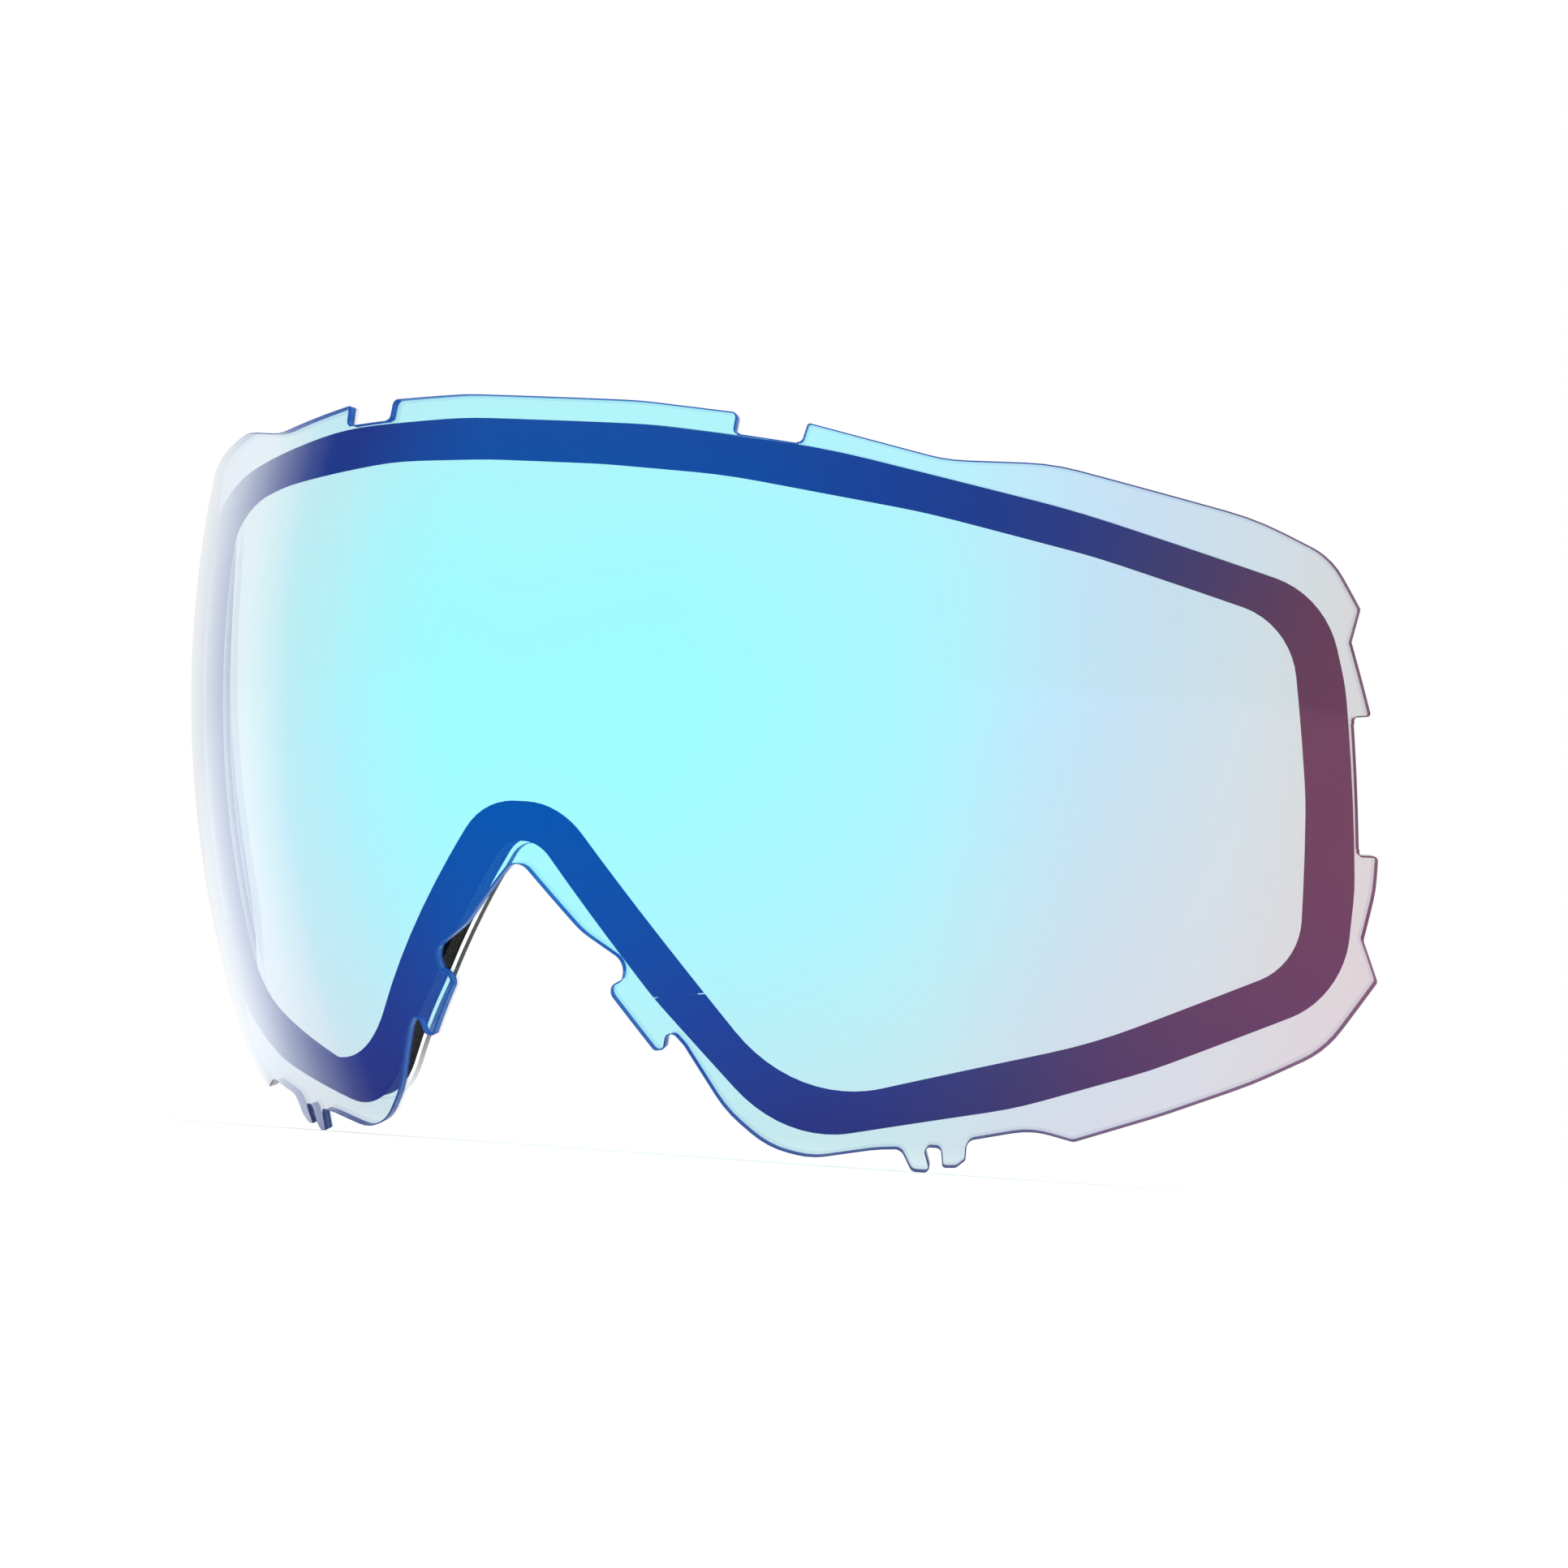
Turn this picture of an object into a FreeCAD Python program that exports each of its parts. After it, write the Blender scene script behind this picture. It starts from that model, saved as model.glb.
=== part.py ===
import FreeCAD, Part
import math
import os

# Dual-pane replacement lens unit of a ski goggle, standing upright as it is worn.
# The front faces -Y, +X is to the right as seen from the front, +Z is up.
# The origin is the middle of the bottom of the box that holds the lens unit.
# All sizes are millimetres.

# Both panes are patches of one doubly curved form: a vertical arc turned about a
# vertical axis behind the lens.  Outlines are drawn flat on the front surface, as
# (side, height) from its most forward point, and are wrapped onto each layer.
SIDE_RADIUS = 102.0
HEIGHT_RADIUS = 138.0

OUTER_PANE = 1.5
ADHESIVE = 0.1
FOAM = 2.3
INNER_PANE = 0.8

FLANGE_TOP = 28.6
FLANGE_SIDE = 114.7
GASKET_WIDTH_AT_TOP = 5.2
FOAM_SETBACK = 2.2
INNER_OVERHANG = 0.65

# Outer ends of the fork and of the top notch, on each side.
FORK_END = 62.1
TOP_NOTCH_END = 36.3
CHEEK_SPAN = FLANGE_SIDE - FORK_END
BROW_SPAN = FLANGE_SIDE - TOP_NOTCH_END

# Floors of the locating notches, as (side, height) at both ends.
SIDE_NOTCH_FLOOR = [(FLANGE_SIDE - 5.55, -20.6), (FLANGE_SIDE - 8.3, -4.1)]
TOP_NOTCH_FLOOR = [(TOP_NOTCH_END - 0.5, FLANGE_TOP - 4.3), (27.0, FLANGE_TOP - 3.5)]

# Splice of the foam strip, on the right leg of the nose arch, as a narrow butt gap.
SPLICE_START = (15.5, -45.0)
SPLICE_END = (28.5, -43.2)
SPLICE_GAP = 0.15

# Pressure-relief breather: a port through the inner pane, a channel in the foam and
# a porous disc on a ring of film, over the gasket band above the splice.
BREATHER_SIDE = 14.25
BREATHER_HEIGHT = -37.5
BREATHER_PORT = 1.4
BREATHER_DISC = 4.0
BREATHER_THICKNESS = 0.5
CHANNEL_WIDTH = 1.2
CHANNEL_DEPTH = 1.4
CHANNEL_REACH = 5.0
CHANNEL_ANGLE = 41.0

# Seats milled flat into the floors of the four locating notches.
SEAT_SKIM = 0.1
SEAT_HEIGHT = 0.6
TOP_SEAT_WIDTH = 7.4
SIDE_SEAT_WIDTH = 15.2


def cheek(share):
    """Side position this share of the way from the fork to the temple."""
    return FORK_END + share * CHEEK_SPAN


def brow(share):
    """Side position this share of the way from the top notch to the temple."""
    return TOP_NOTCH_END + share * BROW_SPAN


# Half outlines, from the nose to the top, as (side, height, corner radius).
NOSE_ARCH = [
    (0.0, -27.6, 2.5),
    (9.2, -36.4, 10.0),
    (15.4, -39.9, 2.0),
    (14.7, -42.1, 0.6),
    (12.2, -43.3, 1.2),
    (18.6, -50.9, 0.8),
    (20.1, -50.6, 0.8),
    (20.9, -47.8, 0.9),
]
LOBE = [
    (23.0, -49.9, 3.0),
    (28.3, -58.1, 14.0),
    (34.0, -62.5, 12.0),
    (40.2, -63.6, 12.0),
    (49.5, -61.8, 14.0),
]
FORK = [
    (53.0, -61.5, 1.4),
    (54.6, -64.4, 1.0),
    (57.4, -64.4, 0.8),
    (56.3, -61.0, 0.6),
    (58.6, -61.0, 0.8),
    (58.9, -63.6, 0.5),
    (60.8, -63.5, 1.0),
    (FORK_END, -62.4, 0.6),
    (FORK_END, -59.8, 1.3),
]
CHEEK_EDGE = [
    (cheek(0.165), -57.8, 0.23 * CHEEK_SPAN),
    (cheek(0.278), -59.0, 1.5),
    (cheek(0.492), -54.9, 1.14 * CHEEK_SPAN),
    (cheek(0.721), -49.9, 1.14 * CHEEK_SPAN),
    (cheek(0.899), -45.0, 0.21 * CHEEK_SPAN),
]
TEMPLE_EDGE = [
    (FLANGE_SIDE, -35.9, 0.5),
    (FLANGE_SIDE - 3.15, -30.9, 1.0),
    (FLANGE_SIDE - 2.6, -24.8, 15.0),
    (FLANGE_SIDE - 2.95, -20.5, 0.7),
    (*SIDE_NOTCH_FLOOR[0], 0.4),
    (*SIDE_NOTCH_FLOOR[1], 0.4),
    (FLANGE_SIDE - 6.0, -3.8, 0.4),
    (FLANGE_SIDE - 9.3, 4.9, 0.6),
    (FLANGE_SIDE - 8.3, FLANGE_TOP - 19.65, 0.6),
    (brow(0.843), FLANGE_TOP - 13.7, 0.115 * BROW_SPAN),
]
BROW_EDGE = [
    (brow(0.717), FLANGE_TOP - 9.8, 0.51 * BROW_SPAN),
    (brow(0.392), FLANGE_TOP - 4.9, 0.38 * BROW_SPAN),
    (brow(0.226), FLANGE_TOP - 5.3, 0.26 * BROW_SPAN),
    (TOP_NOTCH_END, FLANGE_TOP - 1.8, 0.4),
    (*TOP_NOTCH_FLOOR[0], 0.7),
    (*TOP_NOTCH_FLOOR[1], 0.5),
    (27.1, FLANGE_TOP - 1.0, 0.8),
    (13.5, FLANGE_TOP - 0.1, 60.0),
]
GASKET_OUTER = [
    (2.6, -25.9, 5.0),
    (18.4, -44.6, 40.0),
    (36.2, -62.5, 18.0),
    (cheek(0.12), -55.7, 1.14 * CHEEK_SPAN),
    (cheek(0.454), -49.6, 1.14 * CHEEK_SPAN),
    (FLANGE_SIDE - 3.9, -38.5, 10.5),
    (FLANGE_SIDE - 4.8, -25.0, 30.0),
    (FLANGE_SIDE - 9.1, -0.5, 30.0),
    (FLANGE_SIDE - 12.5, FLANGE_TOP - 18.2, 12.0),
    (brow(0.43), FLANGE_TOP - 10.2, 1.91 * BROW_SPAN),
    (38.0, FLANGE_TOP - 4.4, 120.0),
    (14.0, FLANGE_TOP - 2.7, 120.0),
]
GASKET_INNER = [
    (5.9, -21.0, 11.0),
    (38.1, -57.6, 20.0),
    (cheek(0.302), -46.6, 1.52 * CHEEK_SPAN),
    (FLANGE_SIDE - 10.8, -34.8, 7.5),
    (FLANGE_SIDE - 13.0, -14.5, 60.0),
    (FLANGE_SIDE - 16.8, FLANGE_TOP - 22.0, 10.0),
    (brow(0.468), FLANGE_TOP - 15.7, 1.28 * BROW_SPAN),
    (brow(0.2), FLANGE_TOP - 11.7, 1.53 * BROW_SPAN),
    (26.0, FLANGE_TOP - 3.3 - GASKET_WIDTH_AT_TOP, 100.0),
    (9.0, FLANGE_TOP - 2.7 - GASKET_WIDTH_AT_TOP, 120.0),
]


def both_sides(half):
    """Mirror a half outline in the middle plane and join the halves."""
    mirrored = [(-side, height, radius) for side, height, radius in reversed(half)]
    if half[0][0] == 0.0:
        mirrored = mirrored[:-1]
    return half + mirrored


def rounded(corners):
    """Flat wire through the corners, each replaced by a tangent arc."""
    count = len(corners)
    arcs = []
    for index in range(count):
        before = FreeCAD.Vector(*corners[index - 1][:2])
        here = FreeCAD.Vector(*corners[index][:2])
        after = FreeCAD.Vector(*corners[(index + 1) % count][:2])
        radius = corners[index][2]
        to_before = (before - here).normalize()
        to_after = (after - here).normalize()
        half_angle = to_before.getAngle(to_after) / 2
        reach = radius / math.tan(half_angle)
        bisector = (to_before + to_after).normalize()
        nearest = here + bisector * (radius / math.sin(half_angle) - radius)
        arcs.append(Part.Arc(here + to_before * reach, nearest, here + to_after * reach))
    edges = []
    for index in range(count):
        arc = arcs[index].toShape()
        following = arcs[(index + 1) % count]
        edges.append(arc)
        edges.append(Part.LineSegment(arcs[index].EndPoint, following.StartPoint).toShape())
    return Part.Wire(edges)


def layer_surface(depth):
    """The doubly curved surface lying this depth behind the front surface."""
    centre = FreeCAD.Vector(0, 2 * SIDE_RADIUS - HEIGHT_RADIUS, 0)
    circle = Part.Circle(centre, FreeCAD.Vector(1, 0, 0), HEIGHT_RADIUS - depth)
    circle.XAxis = FreeCAD.Vector(0, -1, 0)
    arc = Part.ArcOfCircle(circle, math.pi - 0.8, math.pi + 0.8)
    axis_point = FreeCAD.Vector(0, SIDE_RADIUS, 0)
    return Part.SurfaceOfRevolution(arc, axis_point, FreeCAD.Vector(0, 0, 1))


def wrap(wire, surface):
    """Lay a flat wire onto a layer's surface, edge by edge."""
    edges = []
    for edge in wire.OrderedEdges:
        straight = isinstance(edge.Curve, Part.Line)
        samples = 2 if straight else 9
        points = edge.discretize(samples)
        if edge.Orientation == "Reversed":
            points.reverse()
        angles = [FreeCAD.Base.Vector2d(math.pi + point.x / SIDE_RADIUS,
                                        math.pi + point.y / HEIGHT_RADIUS) for point in points]
        if straight:
            flat_curve = Part.Geom2d.Line2dSegment(angles[0], angles[1])
        else:
            flat_curve = Part.Geom2d.BSplineCurve2d()
            flat_curve.interpolate(angles)
        edges.append(flat_curve.toShape(surface))
    return edges


def bounded_face(loops):
    """Face on a layer's surface inside the first loop and outside the others."""
    outline = Part.Wire(loops[0])
    holes = [Part.Wire(loop) for loop in loops[1:]]
    for hole in holes:
        hole.reverse()
    return Part.Face([outline] + holes)


def layer(wires, front_depth, back_depth):
    """A solid between two depths, bounded by the wrapped wires (outline first, then holes)."""
    front = layer_surface(front_depth)
    back = layer_surface(back_depth)
    front_loops = [wrap(wire, front) for wire in wires]
    back_loops = [wrap(wire, back) for wire in wires]
    faces = [bounded_face(front_loops), bounded_face(back_loops)]
    for front_loop, back_loop in zip(front_loops, back_loops):
        for front_edge, back_edge in zip(front_loop, back_loop):
            faces.append(Part.makeRuledSurface(front_edge, back_edge))
    shell = Part.makeShell(faces)
    shell.sewShape()
    return Part.makeSolid(shell)


def circle_wire(side, height, diameter):
    """Flat circle about a point of the outline drawing."""
    circle = Part.Circle(FreeCAD.Vector(side, height, 0), FreeCAD.Vector(0, 0, 1), diameter / 2)
    lower = Part.ArcOfCircle(circle, -math.pi, 0).toShape()
    upper = Part.ArcOfCircle(circle, 0, math.pi).toShape()
    return Part.Wire([lower, upper])


def strip_wire(start, end, width):
    """Flat rectangle of this width along the line from start to end."""
    start = FreeCAD.Vector(*start)
    end = FreeCAD.Vector(*end)
    along = (end - start).normalize()
    across = FreeCAD.Vector(-along.y, along.x, 0) * (width / 2)
    corners = [start - across, end - across, end + across, start + across]
    return Part.makePolygon(corners + corners[:1])


def seat_frame(floor, side):
    """Seat centre at its front edge, the outward normal there and the way into the lens."""
    surface = layer_surface(0)
    ends = [surface.value(math.pi + side * point[0] / SIDE_RADIUS,
                          math.pi + point[1] / HEIGHT_RADIUS) for point in floor]
    middle = [(floor[0][axis] + floor[1][axis]) / 2 for axis in (0, 1)]
    at = (math.pi + side * middle[0] / SIDE_RADIUS, math.pi + middle[1] / HEIGHT_RADIUS)
    outward = surface.normal(*at)
    into_lens = outward.cross(ends[1] - ends[0]).normalize() * side
    return surface.value(*at) + into_lens * SEAT_SKIM, outward, into_lens


def seat_cutter(floor, width, side):
    """Block whose inner face is the flat seat of a notch, on the +X (1) or -X (-1) side."""
    centre, outward, into_lens = seat_frame(floor, side)
    half = into_lens.cross(outward).normalize() * (width / 2)
    rise = into_lens * -(SEAT_SKIM + SEAT_HEIGHT)
    corners = [centre - half, centre + half, centre + half + rise, centre - half + rise]
    corners = [corner + outward for corner in corners]
    profile = Part.Face(Part.makePolygon(corners + corners[:1]))
    return profile.extrude(outward * -(OUTER_PANE + 2))


def flange_wire():
    """Outline of the outer pane, which is also its flange."""
    return rounded(both_sides(NOSE_ARCH + LOBE + FORK + CHEEK_EDGE + TEMPLE_EDGE + BROW_EDGE))


def gasket_wires():
    """Outer and inner outlines of the front film, which frames the view."""
    return [rounded(both_sides(GASKET_OUTER)), rounded(both_sides(GASKET_INNER))]


def foam_wires():
    """Outlines of the foam and its rear film, set back from the view behind the front film."""
    outer, inner = gasket_wires()
    return [outer, inner.makeOffset2D(FOAM_SETBACK)]


def breather_wire(diameter):
    return circle_wire(BREATHER_SIDE, BREATHER_HEIGHT, diameter)


def outer_lens():
    """Coated outer pane, with flat seats in its four locating notches."""
    pane = layer([flange_wire()], 0, OUTER_PANE)
    for side in (1, -1):
        pane = pane.cut(seat_cutter(TOP_NOTCH_FLOOR, TOP_SEAT_WIDTH, side))
        pane = pane.cut(seat_cutter(SIDE_NOTCH_FLOOR, SIDE_SEAT_WIDTH, side))
    return pane


def gasket_layer(wires, front_depth, back_depth):
    """One layer of the gasket ring, open at the splice."""
    splice = layer([strip_wire(SPLICE_START, SPLICE_END, SPLICE_GAP)],
                   front_depth - 1, back_depth + 1)
    return layer(wires, front_depth, back_depth).cut(splice)


def channel_cutter(front_depth, back_depth):
    """Tool for the vent channel, from the breather port to the sealed gap."""
    angle = math.radians(CHANNEL_ANGLE)
    end = (BREATHER_SIDE + CHANNEL_REACH * math.cos(angle),
           BREATHER_HEIGHT + CHANNEL_REACH * math.sin(angle))
    channel = layer([strip_wire((BREATHER_SIDE, BREATHER_HEIGHT), end, CHANNEL_WIDTH)],
                    front_depth, back_depth)
    return channel.fuse(layer([breather_wire(BREATHER_PORT)], front_depth, back_depth))


def foam_gasket():
    front = OUTER_PANE + ADHESIVE
    back = front + FOAM
    return gasket_layer(foam_wires(), front, back).cut(channel_cutter(back - CHANNEL_DEPTH, back + 1))


def gasket_rear_adhesive():
    front = OUTER_PANE + ADHESIVE + FOAM
    back = front + ADHESIVE
    return gasket_layer(foam_wires(), front, back).cut(channel_cutter(front - 1, back + 1))


def inner_lens():
    """Clear inner pane, overhanging the gasket, with the breather port."""
    front = OUTER_PANE + ADHESIVE + FOAM + ADHESIVE
    outline = gasket_wires()[0].makeOffset2D(INNER_OVERHANG)
    return layer([outline, breather_wire(BREATHER_PORT)], front, front + INNER_PANE)


def breather_adhesive():
    front = OUTER_PANE + ADHESIVE + FOAM + ADHESIVE + INNER_PANE
    wires = [breather_wire(BREATHER_DISC), breather_wire(BREATHER_PORT)]
    return layer(wires, front, front + ADHESIVE)


def breather_filter():
    front = OUTER_PANE + ADHESIVE + FOAM + ADHESIVE + INNER_PANE + ADHESIVE
    return layer([breather_wire(BREATHER_DISC)], front, front + BREATHER_THICKNESS)


os.makedirs("parts", exist_ok=True)
PIECES = {
    "outer_lens": outer_lens(),
    "gasket_front_adhesive": gasket_layer(gasket_wires(), OUTER_PANE, OUTER_PANE + ADHESIVE),
    "foam_gasket": foam_gasket(),
    "gasket_rear_adhesive": gasket_rear_adhesive(),
    "inner_lens": inner_lens(),
    "breather_adhesive": breather_adhesive(),
    "breather_filter": breather_filter(),
}
whole = Part.makeCompound(list(PIECES.values())).optimalBoundingBox()
to_origin = FreeCAD.Vector(0, -whole.Center.y, -whole.ZMin)
print(f"box {whole.XLength:.2f} x {whole.YLength:.2f} x {whole.ZLength:.2f} mm, "
      f"front of the lens at y {to_origin.y:.3f}, middle height {to_origin.z:.3f}")
for name, shape in PIECES.items():
    shape.translate(to_origin)
    shape.exportStep(f"parts/{name}.step")
    print(f"{name}: {len(shape.Solids)} solid, valid {shape.isValid()}, {shape.Volume:.1f} mm3")
for name, floor in (("top", TOP_NOTCH_FLOOR), ("side", SIDE_NOTCH_FLOOR)):
    centre, outward, into_lens = seat_frame(floor, 1)
    middle = centre - outward * (OUTER_PANE / 2) + to_origin
    print(f"{name} seat: {[round(x, 4) for x in middle]}, facing {[round(-x, 6) for x in into_lens]}")
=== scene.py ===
import bpy
import math
import numpy as np
from mathutils import Matrix, Vector, geometry, noise


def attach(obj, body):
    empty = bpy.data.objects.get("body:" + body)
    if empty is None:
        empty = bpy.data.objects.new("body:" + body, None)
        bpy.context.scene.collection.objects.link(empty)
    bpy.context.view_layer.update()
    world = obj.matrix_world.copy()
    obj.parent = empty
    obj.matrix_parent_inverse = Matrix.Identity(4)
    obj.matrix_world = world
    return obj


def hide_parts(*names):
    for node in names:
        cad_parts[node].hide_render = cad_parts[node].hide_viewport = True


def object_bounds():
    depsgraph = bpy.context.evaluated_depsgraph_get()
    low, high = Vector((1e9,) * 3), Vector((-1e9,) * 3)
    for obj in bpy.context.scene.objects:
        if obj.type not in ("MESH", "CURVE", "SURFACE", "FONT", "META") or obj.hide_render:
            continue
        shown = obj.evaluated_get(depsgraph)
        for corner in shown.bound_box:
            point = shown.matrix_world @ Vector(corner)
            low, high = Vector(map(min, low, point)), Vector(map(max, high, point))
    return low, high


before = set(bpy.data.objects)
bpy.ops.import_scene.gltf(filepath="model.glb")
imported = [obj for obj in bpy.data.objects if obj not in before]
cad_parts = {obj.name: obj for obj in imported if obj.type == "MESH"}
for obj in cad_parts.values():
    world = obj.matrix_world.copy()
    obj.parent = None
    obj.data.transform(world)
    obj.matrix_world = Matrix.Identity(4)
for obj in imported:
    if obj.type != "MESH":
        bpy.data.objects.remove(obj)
cad_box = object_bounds()

# ---- Studio ----
# The lens unit stands on a white table in an even white room, with one large soft lamp
# above and in front.  The camera looks from the wearer's left, a little from below.
VIEW_AZIMUTH = math.radians(36.1)
VIEW_ELEVATION = math.radians(-1.2)
VIEW_ROLL = math.radians(3.963)
VIEW_DISTANCE = 1.9441
VIEW_LENS = 370.38
AIM_RIGHT = 0.03201
AIM_DOWN = 0.02064
AIM_HEIGHT = 0.063967
ROOM_BRIGHTNESS = 1.0
LAMP_POWER = 20.0
LAMP_SIZE = 2.4
LAMP_PLACE = Vector((0.9, -1.4, 2.2))
MOST_CLEAR_LAYERS = 32
TABLE_WHITE = (0.985, 0.985, 0.985, 1)
TABLE_BRIGHTEST = (0.995, 0.995, 0.995, 1)
TABLE_REACH = 4.0


def fitted(tree, kind, feeds, **settings):
    """A new node of this kind, with its settings made and its inputs fed."""
    made = tree.nodes.new(kind)
    for name, value in settings.items():
        setattr(made, name, value)
    for name, value in feeds.items():
        if isinstance(value, bpy.types.NodeSocket):
            tree.links.new(value, made.inputs[name])
        else:
            made.inputs[name].default_value = value
    return made


def finish_called(name):
    """A new material with nothing in it but its output."""
    material = bpy.data.materials.new(name)
    material.use_nodes = True
    material.node_tree.nodes.clear()
    return material, material.node_tree


def show(tree, shader):
    """Sends a shader to the material's surface."""
    fitted(tree, "ShaderNodeOutputMaterial", {"Surface": shader.outputs[0]})


def mixed(tree, factor, first, second, blend="MIX"):
    """One colour laid over another."""
    layers = {0: factor, 6: first, 7: second}
    return fitted(tree, "ShaderNodeMix", layers, data_type="RGBA", blend_type=blend).outputs[2]


def table_paint(name):
    """Flat white paint, very slightly mottled."""
    material, tree = finish_called(name)
    place = fitted(tree, "ShaderNodeTexCoord", {}).outputs["Object"]
    mottle = fitted(tree, "ShaderNodeTexNoise", {"Vector": place, "Scale": 3.0}).outputs[0]
    white = mixed(tree, mottle, TABLE_WHITE, TABLE_BRIGHTEST)
    show(tree, fitted(tree, "ShaderNodeBsdfDiffuse", {"Color": white}))
    return material


scene = bpy.context.scene
scene.view_settings.view_transform = "Standard"
scene.cycles.transparent_max_bounces = MOST_CLEAR_LAYERS

room = bpy.data.worlds.new("white_room")
room.use_nodes = True
room.node_tree.nodes["Background"].inputs["Color"].default_value = (1, 1, 1, 1)
room.node_tree.nodes["Background"].inputs["Strength"].default_value = ROOM_BRIGHTNESS
scene.world = room

lamp = bpy.data.objects.new("soft_lamp", bpy.data.lights.new("soft_lamp", "AREA"))
lamp.data.energy = LAMP_POWER
lamp.data.size = LAMP_SIZE
lamp.location = LAMP_PLACE
lamp.rotation_mode = "QUATERNION"
lamp.rotation_quaternion = (-LAMP_PLACE).to_track_quat("-Z", "Y")
lamp.visible_glossy = False
scene.collection.objects.link(lamp)

table_mesh = bpy.data.meshes.new("white_table")
corners = [(x * TABLE_REACH, y * TABLE_REACH, 0) for x, y in ((-1, -1), (1, -1), (1, 1), (-1, 1))]
table_mesh.from_pydata(corners, [], [(0, 1, 2, 3)])
table = bpy.data.objects.new("white_table", table_mesh)
scene.collection.objects.link(table)
table_mesh.materials.append(table_paint("table_paint"))

back = Vector((
    math.sin(VIEW_AZIMUTH) * math.cos(VIEW_ELEVATION),
    -math.cos(VIEW_AZIMUTH) * math.cos(VIEW_ELEVATION),
    math.sin(VIEW_ELEVATION),
))
level = Vector((math.cos(VIEW_AZIMUTH), math.sin(VIEW_AZIMUTH), 0))
upright = back.cross(level)
rightward = math.cos(VIEW_ROLL) * level + math.sin(VIEW_ROLL) * upright
upward = math.cos(VIEW_ROLL) * upright - math.sin(VIEW_ROLL) * level
aim = Vector((0, cad_box[0].y, AIM_HEIGHT)) + AIM_RIGHT * rightward - AIM_DOWN * upward
camera = bpy.data.objects.new("camera", bpy.data.cameras.new("camera"))
camera.data.lens = VIEW_LENS
camera.data.clip_start = 0.1
camera.data.clip_end = 60.0
turned = Matrix((rightward, upward, back)).transposed().to_4x4()
camera.matrix_world = Matrix.Translation(aim + VIEW_DISTANCE * back) @ turned
scene.collection.objects.link(camera)
scene.camera = camera

# ---- Outer lens ----
# The front pane is 1.5 mm polycarbonate, moulded to a doubly curved shape and then
# routed to its outline.  Its front face carries a hard mirror coating that is blue in
# the middle and purple at the temples, and its cut edge is eased and carries a painted
# reflection of the coating in the same colours, with a painted highlight line.
SIDE_RADIUS = 0.102
HEIGHT_RADIUS = 0.138
MIDDLE_HEIGHT = 0.062088
FRONT = cad_box[0].y
OUTER_BACK = 0.0015
TAPE_BITE = 0.00002
EDGE_EASE = 0.00018
EASE_STEPS = 3
PANE_GRAIN = 0.0022
SAME_DEPTH = 0.00002
SAME_PLACE = 0.000005
FEWEST_CORNERS = 9
SHORTEST = 0.00007
LONGEST = 0.0016
SHARPEST_TURN = 0.7
RIM_MARGIN = 0.55
MERGED = 0.00001
MM = 1000


def on_lens(side, height, depth):
    """The place of a point drawn flat on the front face and sunk this deep."""
    around = side / SIDE_RADIUS
    over = height / HEIGHT_RADIUS
    reach = SIDE_RADIUS - HEIGHT_RADIUS + (HEIGHT_RADIUS - depth) * math.cos(over)
    return Vector((
        reach * math.sin(around),
        FRONT + SIDE_RADIUS - reach * math.cos(around),
        MIDDLE_HEIGHT + (HEIGHT_RADIUS - depth) * math.sin(over),
    ))


def lens_axes(side, height):
    """Directions along the side, up the height and out of the front face."""
    around = side / SIDE_RADIUS
    over = height / HEIGHT_RADIUS
    along = Vector((math.cos(around), math.sin(around), 0))
    outward = Vector((
        math.sin(around) * math.cos(over),
        -math.cos(around) * math.cos(over),
        math.sin(over),
    ))
    return along, along.cross(-outward), outward


def drawn_flat(places):
    """(side, height, depth) of places on the lens, as on_lens takes them."""
    x, y, z = places[:, 0], places[:, 1] - FRONT - SIDE_RADIUS, places[:, 2] - MIDDLE_HEIGHT
    reach = np.hypot(x, y) + HEIGHT_RADIUS - SIDE_RADIUS
    side = SIDE_RADIUS * np.arctan2(x, -y)
    height = HEIGHT_RADIUS * np.arctan2(z, reach)
    return np.stack([side, height, HEIGHT_RADIUS - np.hypot(reach, z)], 1)


def routed_outlines(node, depth):
    """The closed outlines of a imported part's face at this depth, material on their left.
    They are the steps between neighbouring corners that only one triangle takes."""
    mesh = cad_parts[node].data
    mesh.calc_loop_triangles()
    places = np.empty(len(mesh.vertices) * 3, np.float32)
    mesh.vertices.foreach_get("co", places)
    flat = drawn_flat(places.reshape(-1, 3).astype(float))
    keys = [tuple(key) for key in np.round(flat[:, :2] / SAME_PLACE).astype(int)]
    where = {}
    steps = {}
    for triangle in mesh.loop_triangles:
        corners = list(triangle.vertices)
        if np.abs(flat[corners, 2] - depth).max() > SAME_DEPTH:
            continue
        a, b, c = flat[corners, :2]
        turn = (b[0] - a[0]) * (c[1] - a[1]) - (b[1] - a[1]) * (c[0] - a[0])
        if turn < 0:
            corners.reverse()
        names = [keys[corner] for corner in corners]
        for name, corner in zip(names, corners):
            where.setdefault(name, flat[corner, :2])
        for start, end in zip(names, names[1:] + names[:1]):
            if start != end:
                steps.setdefault(start, set()).add(end)
    onward = {
        start: [end for end in ends if start not in steps.get(end, ())]
        for start, ends in steps.items()
    }
    onward = {start: ends for start, ends in onward.items() if ends}
    outlines = []
    while onward:
        start = next(iter(onward))
        outline = [start]
        while True:
            ends = onward.get(outline[-1])
            if not ends:
                break
            end = ends.pop()
            if not ends:
                del onward[outline[-1]]
            if end == start:
                break
            outline.append(end)
        if len(outline) >= FEWEST_CORNERS:
            outlines.append(np.array([where[name] for name in outline]))
    return outlines


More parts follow.
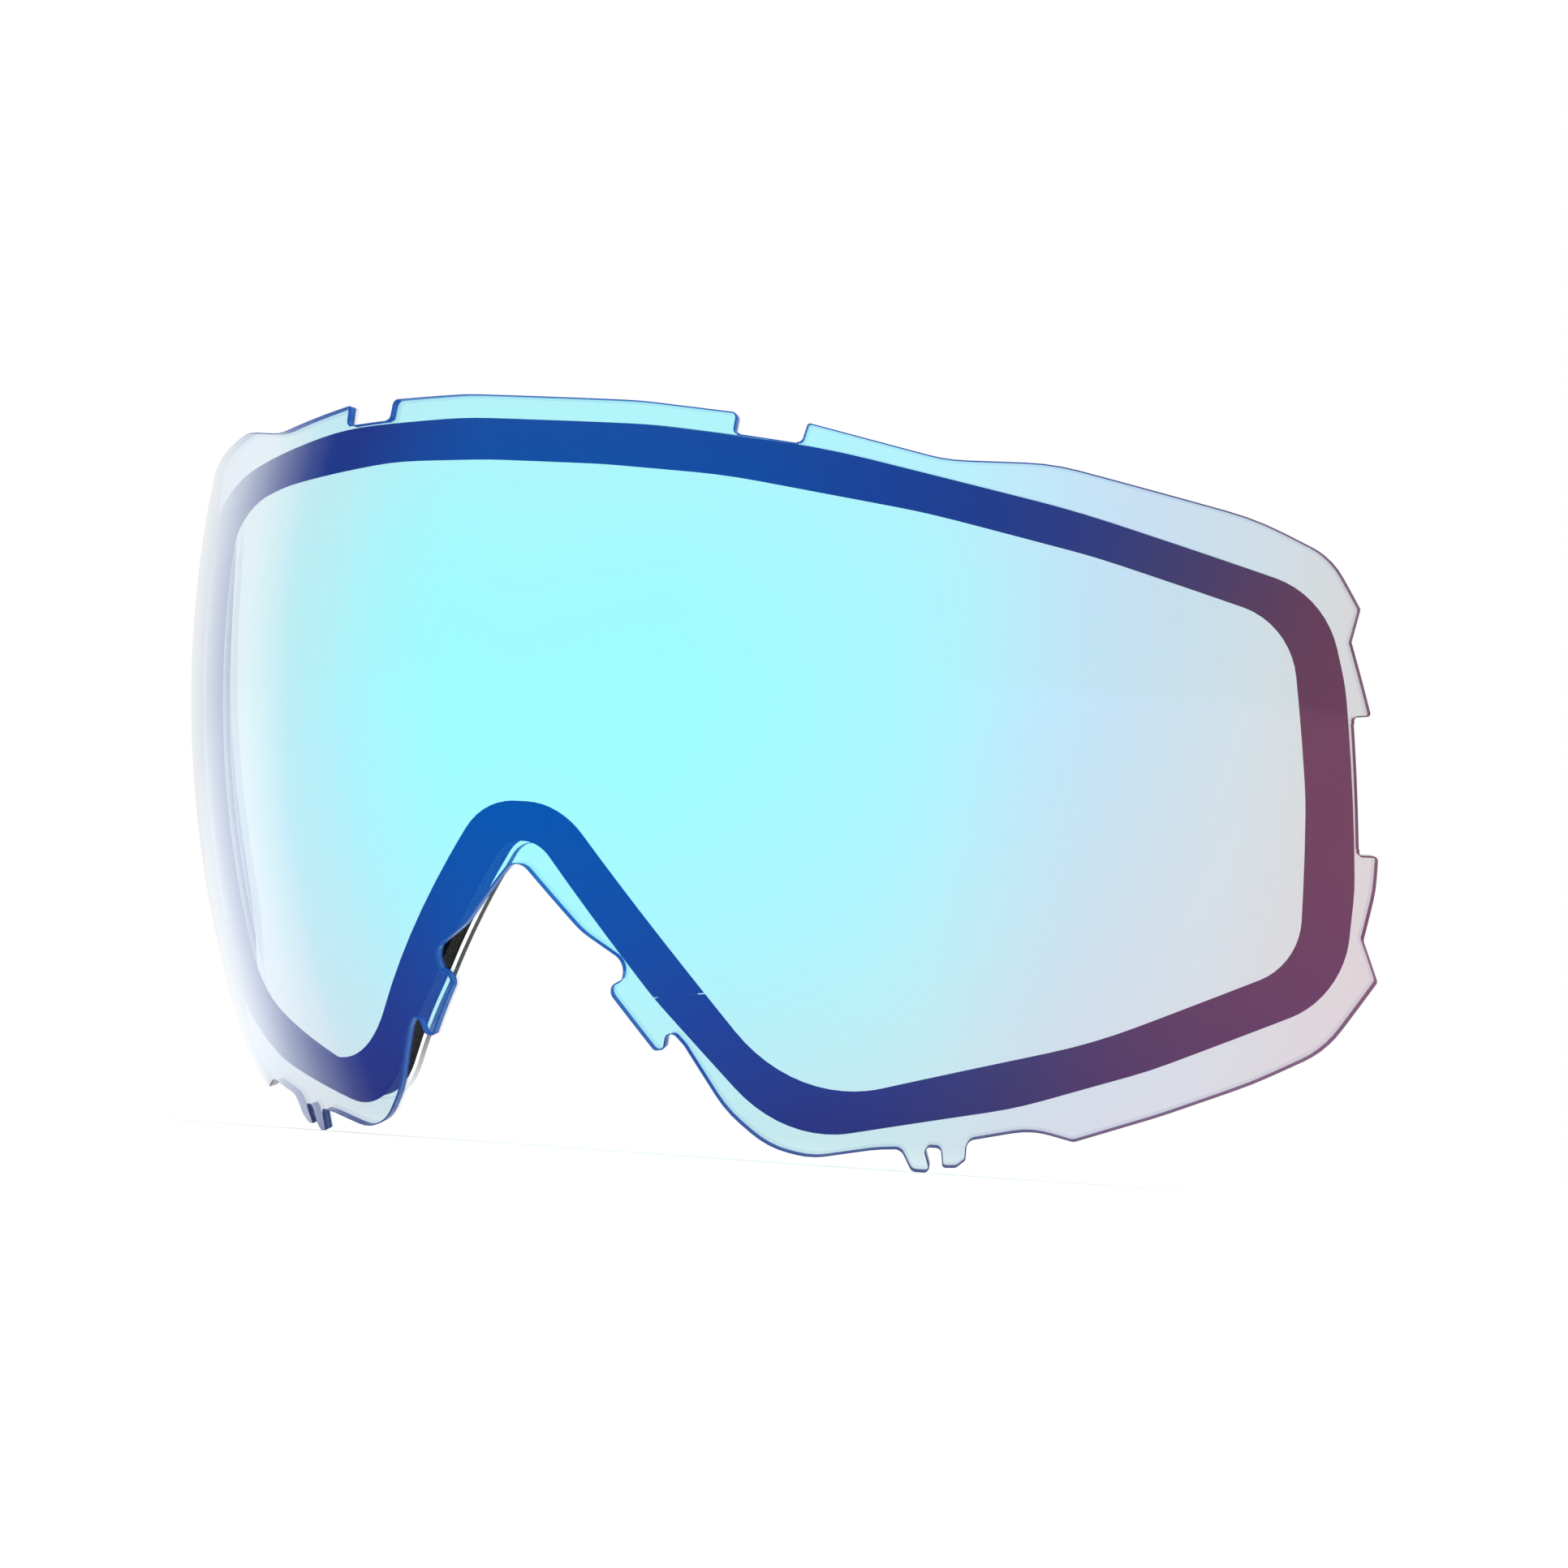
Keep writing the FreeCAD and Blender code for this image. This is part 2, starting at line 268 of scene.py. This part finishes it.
def stepped(outline, shortest, longest):
    """The outline without crowded points, and with long straights divided."""
    kept = [outline[0]]
    for point in outline[1:]:
        if np.hypot(*(point - kept[-1])) > shortest:
            kept.append(point)
    if np.hypot(*(kept[0] - kept[-1])) <= shortest:
        kept.pop()
    divided = []
    for here, there in zip(kept, kept[1:] + kept[:1]):
        parts = max(1, math.ceil(np.hypot(*(there - here)) / longest))
        divided += [here + (there - here) * part / parts for part in range(parts)]
    return np.array(divided)


def inward(outline):
    """At each point, the step into the material that moves both sides by one."""
    ahead = np.roll(outline, -1, 0) - outline
    ahead /= np.linalg.norm(ahead, axis=1, keepdims=True)
    left = np.stack([-ahead[:, 1], ahead[:, 0]], 1)
    before = np.roll(left, 1, 0)
    agree = (left * before).sum(1, keepdims=True)
    return (left + before) / np.maximum(1 + agree, SHARPEST_TURN)


def inside(points, outlines):
    """Which points lie within the outlines, holes left out."""
    held = np.zeros(len(points), bool)
    for outline in outlines:
        for a, b in zip(outline, np.roll(outline, -1, 0)):
            crosses = (a[1] > points[:, 1]) != (b[1] > points[:, 1])
            rise = np.where(crosses, b[1] - a[1], 1)
            met = a[0] + (points[:, 1] - a[1]) * (b[0] - a[0]) / rise
            held ^= crosses & (points[:, 0] < met)
    return held


def triangles_within(outlines, grain):
    """Even triangles that fill the outlines: their extra points and the corners."""
    rim = np.concatenate(outlines)
    low, high = rim.min(0), rim.max(0)
    grid = []
    for row, height in enumerate(np.arange(low[1], high[1], grain * math.sqrt(3) / 2)):
        sides = np.arange(low[0] + (row % 2) * grain / 2, high[0], grain)
        grid.append(np.stack([sides, np.full_like(sides, height)], 1))
    grid = np.concatenate(grid)
    grid = grid[inside(grid, outlines)]
    near = np.array([((rim - point) ** 2).sum(1).min() for point in grid])
    grid = grid[near > (grain * RIM_MARGIN) ** 2]
    everything = np.concatenate([rim, grid])
    held = []
    start = 0
    for outline in outlines:
        count = len(outline)
        held += [(start + i, start + (i + 1) % count) for i in range(count)]
        start += count
    points, _, faces, sources, _, _ = geometry.delaunay_2d_cdt(
        [Vector(point * MM) for point in everything], held, [], 0, MERGED
    )
    faces = [face for face in faces if all(sources[corner] for corner in face)]
    middles = [sum((points[c] for c in face), Vector((0, 0))) / (3 * MM) for face in faces]
    kept = inside(np.array(middles), outlines)
    return grid, [
        tuple(sources[corner][0] for corner in face) for face, keep in zip(faces, kept) if keep
    ]


FACE, CORNER, EDGE, BACK = range(4)


def layered(name, outlines, profile, grain, roughness=None):
    """A closed layer of the lens.  The profile gives each ring round its edge as
    (inset, depth, lean), where lean is 1 on the front face, 0 on the edge, -1 behind.
    Its material slots are the front face, the eased corners, the edge and the back."""
    count = sum(len(outline) for outline in outlines)
    points, normals, faces, parts = [], [], [], []
    for inset, depth, lean in profile:
        for outline in outlines:
            steps = inward(outline)
            for (side, height), step in zip(outline.tolist(), steps.tolist()):
                drawn = inset + (roughness(side, height, depth) if roughness else 0)
                side, height = side + step[0] * drawn, height + step[1] * drawn
                along, over, outward = lens_axes(side, height)
                out = -(step[0] * along + step[1] * over).normalized()
                points.append(on_lens(side, height, depth))
                normals.append((lean * outward + math.sqrt(1 - lean * lean) * out).normalized())
    for ring in range(len(profile) - 1):
        start = ring * count
        for outline in outlines:
            total = len(outline)
            for i in range(total):
                a, b = start + i, start + (i + 1) % total
                faces.append((a, a + count, b + count, b))
                parts.append(EDGE if profile[ring][2] == profile[ring + 1][2] == 0 else CORNER)
            start += total
    drawn_in = [outline + inward(outline) * profile[0][0] for outline in outlines]
    grid, fill = triangles_within(drawn_in, grain)
    for ring, facing, part in ((0, 1, FACE), (len(profile) - 1, -1, BACK)):
        start = len(points)
        depth = profile[ring][1]
        for side, height in grid.tolist():
            points.append(on_lens(side, height, depth))
            normals.append(facing * lens_axes(side, height)[2])
        for face in fill:
            corners = [
                ring * count + corner if corner < count else start + corner - count
                for corner in face
            ]
            faces.append(corners if facing == 1 else corners[::-1])
            parts.append(part)
    mesh = bpy.data.meshes.new(name)
    mesh.from_pydata(points, [], faces)
    mesh.polygons.foreach_set("material_index", parts)
    mesh.polygons.foreach_set("use_smooth", [True] * len(faces))
    if not roughness:
        mesh.normals_split_custom_set_from_vertices(normals)
    mesh.update()
    piece = bpy.data.objects.new(name, mesh)
    scene.collection.objects.link(piece)
    return piece


def eased_edge(front, behind, ease):
    """A pane's edge profile, with both corners rounded by this much."""
    fore = []
    for step in range(EASE_STEPS):
        turn = math.radians(90 * step / EASE_STEPS)
        fore.append((ease * (1 - math.sin(turn)), front + ease * (1 - math.cos(turn)), math.cos(turn)))
    fore.append((0, front + ease, 0))
    return fore + [(inset, front + behind - depth, -lean) for inset, depth, lean in reversed(fore)]


def worked(tree, operation, *values, clamp=False):
    """The answer of one sum in a material."""
    feeds = dict(enumerate(values))
    return fitted(tree, "ShaderNodeMath", feeds, operation=operation, use_clamp=clamp).outputs[0]


def length(tree, across, up):
    """How long a slope is that goes this far across and up."""
    square = worked(tree, "MULTIPLY", up, up)
    return worked(tree, "SQRT", worked(tree, "MULTIPLY_ADD", across, across, square))


def lens_position(tree, lean):
    """A place, how far round the lens it is, counted further lower down by the lean, how
    high it is, and how deep behind the front face."""
    place = fitted(tree, "ShaderNodeTexCoord", {}).outputs["Object"]
    x, y, z = fitted(tree, "ShaderNodeSeparateXYZ", {0: place}).outputs
    ahead = worked(tree, "SUBTRACT", FRONT + SIDE_RADIUS, y)
    turn = worked(tree, "ABSOLUTE", worked(tree, "ARCTAN2", x, ahead))
    share = worked(tree, "MULTIPLY", turn, SIDE_RADIUS / COATING_REACH)
    lower = worked(tree, "SUBTRACT", COATING_LEVEL, z)
    leant = worked(tree, "MULTIPLY_ADD", lower, lean / COATING_REACH, share)
    reach = worked(tree, "ADD", length(tree, x, ahead), HEIGHT_RADIUS - SIDE_RADIUS)
    rise = worked(tree, "SUBTRACT", z, MIDDLE_HEIGHT)
    depth = worked(tree, "SUBTRACT", HEIGHT_RADIUS, length(tree, reach, rise))
    return place, leant, z, depth


def graded(tree, factor, stops):
    """A colour that changes with the factor through (position, colour) stops."""
    ramp = fitted(tree, "ShaderNodeValToRGB", {0: factor})
    elements = ramp.color_ramp.elements
    while len(elements) < len(stops):
        elements.new(1.0)
    for element, (position, colour) in zip(elements, stops):
        element.position = position
        element.color = (*colour, 1)
    return ramp.outputs["Color"]


def tones(stops):
    """Grey stops for graded, from (position, brightness)."""
    return [(position, (tone, tone, tone)) for position, tone in stops]


def blended(tree, share, first, second):
    """Two shaders mixed, by the share of the second."""
    both = {0: share, 1: first.outputs[0], 2: second.outputs[0]}
    return fitted(tree, "ShaderNodeMixShader", both)


def bumped(tree, height, strength, distance):
    """A surface direction roughened by a pattern's height."""
    pattern = {"Height": height.outputs[0], "Strength": strength, "Distance": distance}
    return fitted(tree, "ShaderNodeBump", pattern).outputs[0]


# The coating's colour runs from the middle of the lens, at 0, to this far round it, at 1.
# What it reflects is MIRROR_TINTS and what it lets through is SIGHT_TINTS.
COATING_REACH = 0.115
MIRROR_LEAN = 0.28
SIGHT_LEAN = 0.05
COATING_LEVEL = 0.0441
MIRROR_TINTS = [
    (0.0, (0.0005, 0.084, 0.395)),
    (0.17, (0.001, 0.076, 0.372)),
    (0.31, (0.005, 0.057, 0.325)),
    (0.42, (0.012, 0.048, 0.275)),
    (0.52, (0.024, 0.047, 0.225)),
    (0.59, (0.040, 0.050, 0.185)),
    (0.66, (0.062, 0.052, 0.145)),
    (0.73, (0.096, 0.052, 0.116)),
    (0.80, (0.130, 0.052, 0.100)),
    (0.87, (0.145, 0.052, 0.098)),
    (1.0, (0.158, 0.052, 0.100)),
]
SIGHT_TINTS = [
    (0.0, (0.362, 0.895, 0.600)),
    (0.17, (0.352, 0.907, 0.628)),
    (0.31, (0.372, 0.905, 0.678)),
    (0.42, (0.402, 0.890, 0.712)),
    (0.49, (0.438, 0.858, 0.725)),
    (0.54, (0.470, 0.805, 0.724)),
    (0.59, (0.496, 0.755, 0.728)),
    (0.66, (0.512, 0.708, 0.727)),
    (0.73, (0.512, 0.698, 0.710)),
    (0.80, (0.520, 0.690, 0.680)),
    (0.87, (0.530, 0.655, 0.624)),
    (0.94, (0.545, 0.614, 0.572)),
    (1.0, (0.556, 0.592, 0.552)),
]

# Seen at a low angle, where 1 is edge on, it changes to these and then to a pale shine.
GRAZING_SHARE = tones([(0.28, 0), (0.36, 0.4), (0.45, 1)])
GRAZING_SIGHT = [
    (0.40, (0.44, 0.85, 0.690)),
    (0.47, (0.462, 0.838, 0.672)),
    (0.505, (0.480, 0.822, 0.670)),
    (0.536, (0.505, 0.823, 0.666)),
    (0.557, (0.570, 0.826, 0.674)),
    (0.60, (0.640, 0.860, 0.660)),
    (0.65, (0.738, 0.890, 0.672)),
    (0.70, (0.775, 0.900, 0.680)),
    (0.80, (0.800, 0.905, 0.700)),
]
GRAZING_MIRROR = (0.010, 0.038, 0.250, 1)
LIMB_SHARE = tones([
    (0.50, 0),
    (0.545, 0.055),
    (0.61, 0.22),
    (0.68, 0.465),
    (0.72, 0.61),
    (0.75, 0.70),
    (0.79, 0.81),
    (0.83, 0.89),
    (0.88, 0.96),
    (0.93, 1),
])
LIMB_SHINE = [(0.74, (0.80, 0.86, 0.95)), (0.90, (0.83, 0.86, 0.885))]

# Above and below this height it also fades toward a duller pair of tints.
FADE_HEIGHT = 0.054
FADE_RATE = 180.0
FADED_MIRROR = (0.05, 0.04, 0.22, 1)
FADED_SIGHT = (0.74, 0.62, 0.57, 1)
COATING_ROUGHNESS = 0.05
COATING_DRIFT = 0.004


def coating(name):
    """The mirror coating on clear plastic: it reflects one set of tints and lets the
    rest through, and turns pale where it is seen almost edge on."""
    material, tree = finish_called(name)
    place, mirror_share, high, _ = lens_position(tree, MIRROR_LEAN)
    sight_share = lens_position(tree, SIGHT_LEAN)[1]
    drift = fitted(tree, "ShaderNodeTexNoise", {"Vector": place, "Scale": 14.0, "Detail": 1.0})
    swing = {0: drift.outputs[0], 3: -COATING_DRIFT, 4: COATING_DRIFT}
    wander = fitted(tree, "ShaderNodeMapRange", swing).outputs[0]
    mirror_share = worked(tree, "ADD", mirror_share, wander)
    rise = worked(tree, "SUBTRACT", high, FADE_HEIGHT)
    square = worked(tree, "MULTIPLY", rise, rise)
    fade = worked(tree, "MULTIPLY", square, FADE_RATE, clamp=True)
    facing = fitted(tree, "ShaderNodeLayerWeight", {"Blend": 0.5}).outputs["Facing"]
    grazing = graded(tree, facing, GRAZING_SHARE)
    mirror = mixed(tree, grazing, graded(tree, mirror_share, MIRROR_TINTS), GRAZING_MIRROR)
    mirror = mixed(tree, fade, mirror, FADED_MIRROR)
    low = graded(tree, facing, GRAZING_SIGHT)
    sight = mixed(tree, grazing, graded(tree, sight_share, SIGHT_TINTS), low)
    sight = mixed(tree, fade, sight, FADED_SIGHT)
    gloss = fitted(tree, "ShaderNodeBsdfGlossy", {"Color": mirror, "Roughness": COATING_ROUGHNESS})
    clear = fitted(tree, "ShaderNodeBsdfTransparent", {"Color": sight})
    both = fitted(tree, "ShaderNodeAddShader", {0: gloss.outputs[0], 1: clear.outputs[0]})
    pale = graded(tree, facing, LIMB_SHINE)
    shine = fitted(tree, "ShaderNodeBsdfGlossy", {"Color": pale, "Roughness": 0.08})
    limb = graded(tree, facing, LIMB_SHARE)
    show(tree, blended(tree, limb, both, shine))
    return material


# Along the edge's thickness, 0 in front: where the painted highlight line lies, and where it is clear.
EDGE_PAINTED_HIGHLIGHT = tones([(0, 0.2), (0.12, 0.05), (0.30, 0.9), (0.42, 0.9), (0.56, 0.05), (0.64, 0)])
EDGE_CLEAR = tones([(0.60, 0), (0.72, 0.9), (1.0, 0.95)])


def cut_edge(name, light, roughness):
    """The routed edge.  The coating's tints are painted on the front part of its thickness
    as a painted reflection of the coating, with a painted highlight line along it, and the rest is
    clear."""
    material, tree = finish_called(name)
    place, share, _, depth = lens_position(tree, MIRROR_LEAN)
    marks = fitted(tree, "ShaderNodeTexNoise", {"Vector": place, "Scale": 900.0, "Detail": 2.0})
    sunk = worked(tree, "DIVIDE", depth, OUTER_BACK, clamp=True)
    # The coating's tint laid on the edge is a painted reflection of the coating seen inside the
    # plastic, and the light colour added to it makes a painted highlight line.
    deep = graded(tree, share, MIRROR_TINTS)
    with_painted_highlight = mixed(tree, 1.0, deep, light, "ADD")
    streaked = mixed(tree, marks.outputs[0], with_painted_highlight, deep)
    tint = mixed(tree, graded(tree, sunk, EDGE_PAINTED_HIGHLIGHT), deep, streaked)
    bump = bumped(tree, marks, strength=0.12, distance=0.00005)
    solid = fitted(
        tree,
        "ShaderNodeBsdfPrincipled",
        {"Base Color": tint, "Roughness": roughness, "IOR": 1.3, "Normal": bump},
    )
    clear = fitted(tree, "ShaderNodeBsdfTransparent", {"Color": (0.90, 0.94, 0.97, 1)})
    show(tree, blended(tree, graded(tree, sunk, EDGE_CLEAR), solid, clear))
    return material


def plain_face(name, tint, haze_stops):
    """An uncoated clear face, which hazes over only where it is met at a low angle."""
    material, tree = finish_called(name)
    place = fitted(tree, "ShaderNodeTexCoord", {}).outputs["Object"]
    smear = fitted(tree, "ShaderNodeTexNoise", {"Vector": place, "Scale": 60.0, "Detail": 3.0})
    white = graded(tree, smear.outputs[0], tones([(0.3, 0.97), (0.7, 1.0)]))
    haze = fitted(tree, "ShaderNodeBsdfTranslucent", {"Color": white})
    clear = fitted(tree, "ShaderNodeBsdfTransparent", {"Color": tint})
    meets = fitted(tree, "ShaderNodeLayerWeight", {"Blend": 0.5}).outputs["Facing"]
    share = graded(tree, meets, tones(haze_stops))
    show(tree, blended(tree, share, clear, haze))
    return material


outer_outlines = [
    stepped(outline, SHORTEST, LONGEST) for outline in routed_outlines("outer_lens", 0)
]
outer_lens = layered(
    "outer_lens_pane", outer_outlines, eased_edge(0, OUTER_BACK + TAPE_BITE, EDGE_EASE), PANE_GRAIN
)
for finish in (
    coating("mirror_coating"),
    # Each edge gets the colour of its painted highlight line and its roughness.
    cut_edge("eased_edge", (0.010, 0.010, 0.012, 1), 0.30),
    cut_edge("routed_edge", (0.045, 0.150, 0.200, 1), 0.22),
    plain_face("bare_back_face", (0.998, 0.999, 1.0, 1), [(0.86, 0), (1.0, 0.5)]),
):
    outer_lens.data.materials.append(finish)
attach(outer_lens, "root")
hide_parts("outer_lens")

# ---- Gasket adhesive ----
# Two rings of 0.1 mm black pressure-sensitive film bond the foam to the panes.  The rear one is
# die-cut with the foam.  The front one reaches further in, and is the flat, even band
# seen through the coating.  Both are drawn just as they were packed.
def tape(name):
    """Black film pressed on foam, whose cells show through it as faint dimples."""
    material, tree = finish_called(name)
    place = fitted(tree, "ShaderNodeTexCoord", {}).outputs["Object"]
    cells = fitted(tree, "ShaderNodeTexVoronoi", {"Vector": place, "Scale": 1400.0})
    grain = fitted(tree, "ShaderNodeTexNoise", {"Vector": place, "Scale": 220.0, "Detail": 4.0})
    colour = graded(tree, grain.outputs[0], tones([(0.3, 0.001), (0.7, 0.003)]))
    bump = bumped(tree, cells, strength=0.15, distance=0.00004)
    show(tree, fitted(
        tree,
        "ShaderNodeBsdfPrincipled",
        {"Base Color": colour, "Roughness": 0.6, "Specular IOR Level": 0.02, "Normal": bump},
    ))
    return material


tape_finish = tape("gasket_tape")
for node in ("gasket_front_adhesive", "gasket_rear_adhesive"):
    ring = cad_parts[node]
    ring.data.materials.clear()
    ring.data.materials.append(tape_finish)

# ---- Foam gasket ----
# A 2.3 mm strip of black closed-cell foam, die-cut, bent round the panes and butted
# at the splice.  Its cut sides show torn cells and draw in a little under load.
FOAM_FRONT = 0.0016
FOAM_BACK = 0.0039
FOAM_LEVELS = 7
FOAM_WAIST = 0.00012
CELL_TEAR = 0.00009
FOAM_GRAIN = 0.0015
FOAM_SHORTEST = 0.0001
FOAM_LONGEST = 0.0004
CELLS_PER_METRE = 2600.0


def torn_cells(side, height, depth):
    """How far the cut side is broken back at a place, by the cells it runs through."""
    spot = Vector((side, height, depth)) * CELLS_PER_METRE
    held = math.sin(math.pi * (depth - FOAM_FRONT) / (FOAM_BACK - FOAM_FRONT))
    return CELL_TEAR * max(0.0, held) ** 0.5 * abs(noise.noise(spot))


def foam(name):
    """Black closed-cell foam, dull and speckled where cut cells catch the light."""
    material, tree = finish_called(name)
    place = fitted(tree, "ShaderNodeTexCoord", {}).outputs["Object"]
    cells = fitted(tree, "ShaderNodeTexVoronoi", {"Vector": place, "Scale": 2300.0})
    grain = fitted(tree, "ShaderNodeTexNoise", {"Vector": place, "Scale": 900.0, "Detail": 5.0})
    walls = graded(tree, cells.outputs[0], tones([(0.1, 0.004), (0.8, 0.045)]))
    colour = mixed(tree, grain.outputs[0], (0.006, 0.006, 0.006, 1), walls)
    bump = bumped(tree, cells, strength=0.8, distance=0.0002)
    show(tree, fitted(
        tree,
        "ShaderNodeBsdfPrincipled",
        {"Base Color": colour, "Roughness": 0.93, "Specular IOR Level": 0.2, "Normal": bump},
    ))
    return material


foam_outlines = [
    stepped(outline, FOAM_SHORTEST, FOAM_LONGEST)
    for outline in routed_outlines("foam_gasket", FOAM_FRONT)
]
drawn_sides = []
for level in range(FOAM_LEVELS):
    sunk = level / (FOAM_LEVELS - 1)
    waist = FOAM_WAIST * math.sin(math.pi * sunk)
    drawn_sides.append((waist, FOAM_FRONT + (FOAM_BACK - FOAM_FRONT) * sunk, 0))
foam_gasket = layered("foam_gasket_strip", foam_outlines, drawn_sides, FOAM_GRAIN, torn_cells)
foam_finish = foam("closed_cell_foam")
for _ in (FACE, CORNER, EDGE, BACK):
    foam_gasket.data.materials.append(foam_finish)
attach(foam_gasket, "root")
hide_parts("foam_gasket")

# ---- Inner lens ----
# The rear pane is 0.8 mm clear cellulose sheet with an anti-fog face, laser-cut a little
# larger than the gasket it closes.  One small port through it lets the sealed gap breathe.
INNER_FRONT = 0.0040
INNER_BACK = 0.0048
INNER_EASE = 0.00008


def shade_painted_edge(name):
    """The inner pane's edge, painted near black as painted shade round the nose arch,
    and clear everywhere else."""
    material, tree = finish_called(name)
    place, share, _, _ = lens_position(tree, 0)
    shade_mottle = fitted(tree, "ShaderNodeTexNoise", {"Vector": place, "Scale": 1200.0, "Detail": 3.0})
    # Painted shade: near-black tones laid on the edge round the nose arch.
    painted_shade_tones = [(0.3, (0.004, 0.004, 0.006)), (0.75, (0.030, 0.030, 0.036))]
    colour = graded(tree, shade_mottle.outputs[0], painted_shade_tones)
    painted_shade = fitted(
        tree,
        "ShaderNodeBsdfPrincipled",
        {"Base Color": colour, "Roughness": 0.35, "Specular IOR Level": 0.3},
    )
    clear = fitted(tree, "ShaderNodeBsdfTransparent", {"Color": (0.94, 0.96, 0.97, 1)})
    along = graded(tree, share, tones([(0.20, 0), (0.30, 0.95)]))
    show(tree, blended(tree, along, painted_shade, clear))
    return material


inner_outlines = [
    stepped(outline, SHORTEST, LONGEST) for outline in routed_outlines("inner_lens", INNER_FRONT)
]
inner_lens = layered(
    "inner_lens_pane",
    inner_outlines,
    eased_edge(INNER_FRONT - TAPE_BITE, INNER_BACK, INNER_EASE),
    PANE_GRAIN,
)
clear_face = plain_face("anti_fog_face", (0.994, 0.997, 0.997, 1), [(0.80, 0), (1.0, 0.5)])
edge_shade_finish = shade_painted_edge("edge_painted_shade")
for finish in (clear_face, edge_shade_finish, edge_shade_finish, clear_face):
    inner_lens.data.materials.append(finish)
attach(inner_lens, "root")
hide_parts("inner_lens")

# ---- Breather ----
# A porous membrane disc on a ring of the same tape, stuck over the port behind the
# gasket.  It lets pressure out at altitude and keeps water out of the gap.
def membrane(name):
    """Porous fibre membrane, matt and slightly dimpled."""
    material, tree = finish_called(name)
    place = fitted(tree, "ShaderNodeTexCoord", {}).outputs["Object"]
    fibres = fitted(tree, "ShaderNodeTexNoise", {"Vector": place, "Scale": 3500.0, "Detail": 4.0})
    greys = [(0.3, (0.22, 0.23, 0.24)), (0.7, (0.42, 0.43, 0.44))]
    colour = graded(tree, fibres.outputs[0], greys)
    bump = bumped(tree, fibres, strength=0.5, distance=0.00005)
    show(tree, fitted(
        tree,
        "ShaderNodeBsdfPrincipled",
        {"Base Color": colour, "Roughness": 0.85, "Normal": bump},
    ))
    return material


for node, finish, slot in (
    ("breather_filter", membrane("breather_membrane"), "breather_membrane"),
    ("breather_adhesive", tape_finish, "adhesive_film"),
):
    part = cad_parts[node]
    part.data.materials.clear()
    part.data.materials.append(finish)
